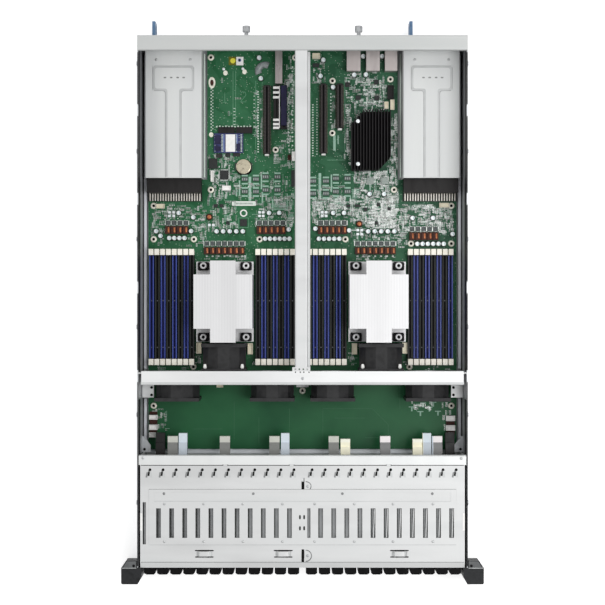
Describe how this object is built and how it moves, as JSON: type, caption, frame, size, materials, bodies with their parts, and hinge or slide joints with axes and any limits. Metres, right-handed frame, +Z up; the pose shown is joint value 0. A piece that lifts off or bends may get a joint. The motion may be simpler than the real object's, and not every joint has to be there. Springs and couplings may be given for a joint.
{
  "type": "rackmount storage server",
  "caption": "Open two-unit rack storage server: drive carriers slide out in front, power supplies slide out behind, fans spin between the drive backplane and a two-processor main board.",
  "frame": {"origin": "bottom centre of the bounding box, on the underside of the chassis floor", "axes": "+X to the right seen from above with the front nearest, +Y to the rear, +Z up"},
  "size_m": [0.4826, 0.758, 0.087],
  "materials": {
    "sheet": "zinc plated",
    "bright_sheet": "zinc plated",
    "board": "solder mask",
    "cooler": "satin",
    "socket": "moulded",
    "blue_plastic": "moulded",
    "black_plastic": "moulded",
    "cream_plastic": "moulded",
    "plug": "moulded",
    "black_cooler": "anodised",
    "cell": "bright",
    "choke": "sintered",
    "jack": "tin plated",
    "lever": "moulded",
    "ear": "black",
    "knob": "knurled",
    "button": "moulded"
  },
  "bodies": {
    "chassis": {"base_pan": "sheet", "rear_panel": "sheet", "rear_bridge": "bright_sheet", "centre_brace": "bright_sheet", "fan_wall": "bright_sheet", "drive_cage": "bright_sheet", "cage_cover": "bright_sheet", "backplane": "board", "backplane_plugs": "plug", "main_board": "board", "cpu_sockets": "socket", "cpu_heatsinks": "cooler", "dimm_sockets_blue": "blue_plastic", "dimm_sockets_black": "black_plastic", "board_sockets": "socket", "chipset_heatsink": "black_cooler", "coin_cell": "cell", "power_chokes": "choke", "rear_jacks": "jack", "psu_cages": "bright_sheet", "fan_frames": "black_plastic", "rack_ears": "ear", "thumbscrews": "knob"},
    "dimm_latches_rear": {"dimm_latches_rear": "cream_plastic"},
    "dimm_latches_front": {"dimm_latches_front": "cream_plastic"},
    "power_button": {"power_button": "button"},
    "psu_left": {"psu_left": "sheet"},
    "psu_right": {"psu_right": "sheet"},
    "psu_latch_left": {"psu_latch_left": "lever"},
    "psu_latch_right": {"psu_latch_right": "lever"},
    "fan_rotor_1": {"fan_rotor_1": "black_plastic"},
    "fan_rotor_2": {"fan_rotor_2": "black_plastic"},
    "fan_rotor_3": {"fan_rotor_3": "black_plastic"},
    "fan_rotor_4": {"fan_rotor_4": "black_plastic"},
    "fan_rotor_5": {"fan_rotor_5": "black_plastic"},
    "fan_rotor_6": {"fan_rotor_6": "black_plastic"},
    "drive_carrier_01": {"drive_carrier_01": "black_plastic"},
    "drive_carrier_02": {"drive_carrier_02": "black_plastic"},
    "drive_carrier_03": {"drive_carrier_03": "black_plastic"},
    "drive_carrier_04": {"drive_carrier_04": "black_plastic"},
    "drive_carrier_05": {"drive_carrier_05": "black_plastic"},
    "drive_carrier_06": {"drive_carrier_06": "black_plastic"},
    "drive_carrier_07": {"drive_carrier_07": "black_plastic"},
    "drive_carrier_08": {"drive_carrier_08": "black_plastic"},
    "drive_carrier_09": {"drive_carrier_09": "black_plastic"},
    "drive_carrier_10": {"drive_carrier_10": "black_plastic"},
    "drive_carrier_11": {"drive_carrier_11": "black_plastic"},
    "drive_carrier_12": {"drive_carrier_12": "black_plastic"},
    "drive_carrier_13": {"drive_carrier_13": "black_plastic"},
    "drive_carrier_14": {"drive_carrier_14": "black_plastic"},
    "drive_carrier_15": {"drive_carrier_15": "black_plastic"},
    "drive_carrier_16": {"drive_carrier_16": "black_plastic"},
    "drive_carrier_17": {"drive_carrier_17": "black_plastic"},
    "drive_carrier_18": {"drive_carrier_18": "black_plastic"},
    "drive_carrier_19": {"drive_carrier_19": "black_plastic"},
    "drive_carrier_20": {"drive_carrier_20": "black_plastic"},
    "drive_carrier_21": {"drive_carrier_21": "black_plastic"},
    "drive_carrier_22": {"drive_carrier_22": "black_plastic"},
    "drive_carrier_23": {"drive_carrier_23": "black_plastic"},
    "drive_carrier_24": {"drive_carrier_24": "black_plastic"}
  },
  "joints": [
    {"name": "drive_carrier_01_slide", "type": "slide", "parent": "chassis", "child": "drive_carrier_01", "axis": [0, -1, 0], "range_m": [0, 0.13]},
    {"name": "drive_carrier_02_slide", "type": "slide", "parent": "chassis", "child": "drive_carrier_02", "axis": [0, -1, 0], "range_m": [0, 0.13]},
    {"name": "drive_carrier_03_slide", "type": "slide", "parent": "chassis", "child": "drive_carrier_03", "axis": [0, -1, 0], "range_m": [0, 0.13]},
    {"name": "drive_carrier_04_slide", "type": "slide", "parent": "chassis", "child": "drive_carrier_04", "axis": [0, -1, 0], "range_m": [0, 0.13]},
    {"name": "drive_carrier_05_slide", "type": "slide", "parent": "chassis", "child": "drive_carrier_05", "axis": [0, -1, 0], "range_m": [0, 0.13]},
    {"name": "drive_carrier_06_slide", "type": "slide", "parent": "chassis", "child": "drive_carrier_06", "axis": [0, -1, 0], "range_m": [0, 0.13]},
    {"name": "drive_carrier_07_slide", "type": "slide", "parent": "chassis", "child": "drive_carrier_07", "axis": [0, -1, 0], "range_m": [0, 0.13]},
    {"name": "drive_carrier_08_slide", "type": "slide", "parent": "chassis", "child": "drive_carrier_08", "axis": [0, -1, 0], "range_m": [0, 0.13]},
    {"name": "drive_carrier_09_slide", "type": "slide", "parent": "chassis", "child": "drive_carrier_09", "axis": [0, -1, 0], "range_m": [0, 0.13]},
    {"name": "drive_carrier_10_slide", "type": "slide", "parent": "chassis", "child": "drive_carrier_10", "axis": [0, -1, 0], "range_m": [0, 0.13]},
    {"name": "drive_carrier_11_slide", "type": "slide", "parent": "chassis", "child": "drive_carrier_11", "axis": [0, -1, 0], "range_m": [0, 0.13]},
    {"name": "drive_carrier_12_slide", "type": "slide", "parent": "chassis", "child": "drive_carrier_12", "axis": [0, -1, 0], "range_m": [0, 0.13]},
    {"name": "drive_carrier_13_slide", "type": "slide", "parent": "chassis", "child": "drive_carrier_13", "axis": [0, -1, 0], "range_m": [0, 0.13]},
    {"name": "drive_carrier_14_slide", "type": "slide", "parent": "chassis", "child": "drive_carrier_14", "axis": [0, -1, 0], "range_m": [0, 0.13]},
    {"name": "drive_carrier_15_slide", "type": "slide", "parent": "chassis", "child": "drive_carrier_15", "axis": [0, -1, 0], "range_m": [0, 0.13]},
    {"name": "drive_carrier_16_slide", "type": "slide", "parent": "chassis", "child": "drive_carrier_16", "axis": [0, -1, 0], "range_m": [0, 0.13]},
    {"name": "drive_carrier_17_slide", "type": "slide", "parent": "chassis", "child": "drive_carrier_17", "axis": [0, -1, 0], "range_m": [0, 0.13]},
    {"name": "drive_carrier_18_slide", "type": "slide", "parent": "chassis", "child": "drive_carrier_18", "axis": [0, -1, 0], "range_m": [0, 0.13]},
    {"name": "drive_carrier_19_slide", "type": "slide", "parent": "chassis", "child": "drive_carrier_19", "axis": [0, -1, 0], "range_m": [0, 0.13]},
    {"name": "drive_carrier_20_slide", "type": "slide", "parent": "chassis", "child": "drive_carrier_20", "axis": [0, -1, 0], "range_m": [0, 0.13]},
    {"name": "drive_carrier_21_slide", "type": "slide", "parent": "chassis", "child": "drive_carrier_21", "axis": [0, -1, 0], "range_m": [0, 0.13]},
    {"name": "drive_carrier_22_slide", "type": "slide", "parent": "chassis", "child": "drive_carrier_22", "axis": [0, -1, 0], "range_m": [0, 0.13]},
    {"name": "drive_carrier_23_slide", "type": "slide", "parent": "chassis", "child": "drive_carrier_23", "axis": [0, -1, 0], "range_m": [0, 0.13]},
    {"name": "drive_carrier_24_slide", "type": "slide", "parent": "chassis", "child": "drive_carrier_24", "axis": [0, -1, 0], "range_m": [0, 0.13]},
    {"name": "psu_left_slide", "type": "slide", "parent": "chassis", "child": "psu_left", "axis": [0, 1, 0], "range_m": [0, 0.19]},
    {"name": "psu_latch_left_hinge", "type": "hinge", "parent": "psu_left", "child": "psu_latch_left", "pos_m": [-0.20242, 0.3552, 0.0095], "axis": [0, 0, -1], "range_deg": [0, 10], "stiffness_Nm_per_rad": 0.4},
    {"name": "psu_right_slide", "type": "slide", "parent": "chassis", "child": "psu_right", "axis": [0, 1, 0], "range_m": [0, 0.19]},
    {"name": "psu_latch_right_hinge", "type": "hinge", "parent": "psu_right", "child": "psu_latch_right", "pos_m": [0.14782, 0.3552, 0.0095], "axis": [0, 0, -1], "range_deg": [0, 10], "stiffness_Nm_per_rad": 0.4},
    {"name": "fan_spin_1", "type": "hinge", "parent": "chassis", "child": "fan_rotor_1", "pos_m": [-0.1686, -0.1366, 0.043], "axis": [0, 1, 0], "continuous": true},
    {"name": "fan_spin_2", "type": "hinge", "parent": "chassis", "child": "fan_rotor_2", "pos_m": [-0.1058, -0.0974, 0.043], "axis": [0, 1, 0], "continuous": true},
    {"name": "fan_spin_3", "type": "hinge", "parent": "chassis", "child": "fan_rotor_3", "pos_m": [-0.0406, -0.1366, 0.043], "axis": [0, 1, 0], "continuous": true},
    {"name": "fan_spin_4", "type": "hinge", "parent": "chassis", "child": "fan_rotor_4", "pos_m": [0.0406, -0.1366, 0.043], "axis": [0, 1, 0], "continuous": true},
    {"name": "fan_spin_5", "type": "hinge", "parent": "chassis", "child": "fan_rotor_5", "pos_m": [0.1058, -0.0974, 0.043], "axis": [0, 1, 0], "continuous": true},
    {"name": "fan_spin_6", "type": "hinge", "parent": "chassis", "child": "fan_rotor_6", "pos_m": [0.1686, -0.1366, 0.043], "axis": [0, 1, 0], "continuous": true},
    {"name": "dimm_latches_rear_hinge", "type": "hinge", "parent": "chassis", "child": "dimm_latches_rear", "pos_m": [0, 0.0635, 0.013], "axis": [-1, 0, 0], "range_deg": [0, 18]},
    {"name": "dimm_latches_front_hinge", "type": "hinge", "parent": "chassis", "child": "dimm_latches_front", "pos_m": [0, -0.0837, 0.013], "axis": [1, 0, 0], "range_deg": [0, 18]},
    {"name": "power_button_press", "type": "slide", "parent": "chassis", "child": "power_button", "axis": [0, 1, 0], "range_m": [0, 0.0015], "stiffness_N_per_m": 400}
  ]
}
